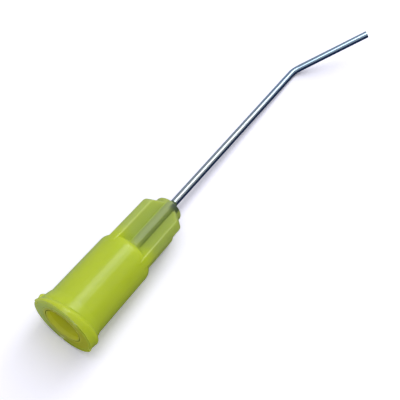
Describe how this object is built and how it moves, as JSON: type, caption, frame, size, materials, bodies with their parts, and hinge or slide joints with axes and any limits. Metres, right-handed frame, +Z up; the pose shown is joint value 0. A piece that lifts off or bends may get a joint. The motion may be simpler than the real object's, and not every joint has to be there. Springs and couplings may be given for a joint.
{
  "type": "dispensing needle tip",
  "caption": "Dispensing needle tip: translucent yellow-green Luer lock hub with a finned nose and a bent stainless steel cannula, lying on its side.",
  "frame": {"origin": "middle of the lying tip's footprint, on the surface that it rests on", "axes": "+X along the tip, from the mouth towards the bent end; +Z up; the bent end leans towards -Y and rises"},
  "size_m": [0.0558, 0.0094, 0.0079],
  "materials": {
    "hub_plastic": "translucent moulded polypropylene, smooth with a soft gloss",
    "cannula_steel": "drawn and polished stainless steel tube",
    "bond": "clear cured adhesive tinted by the hub behind it"
  },
  "bodies": {
    "root": {"hub": "hub_plastic", "cannula": "cannula_steel", "adhesive": "bond"}
  },
  "joints": []
}
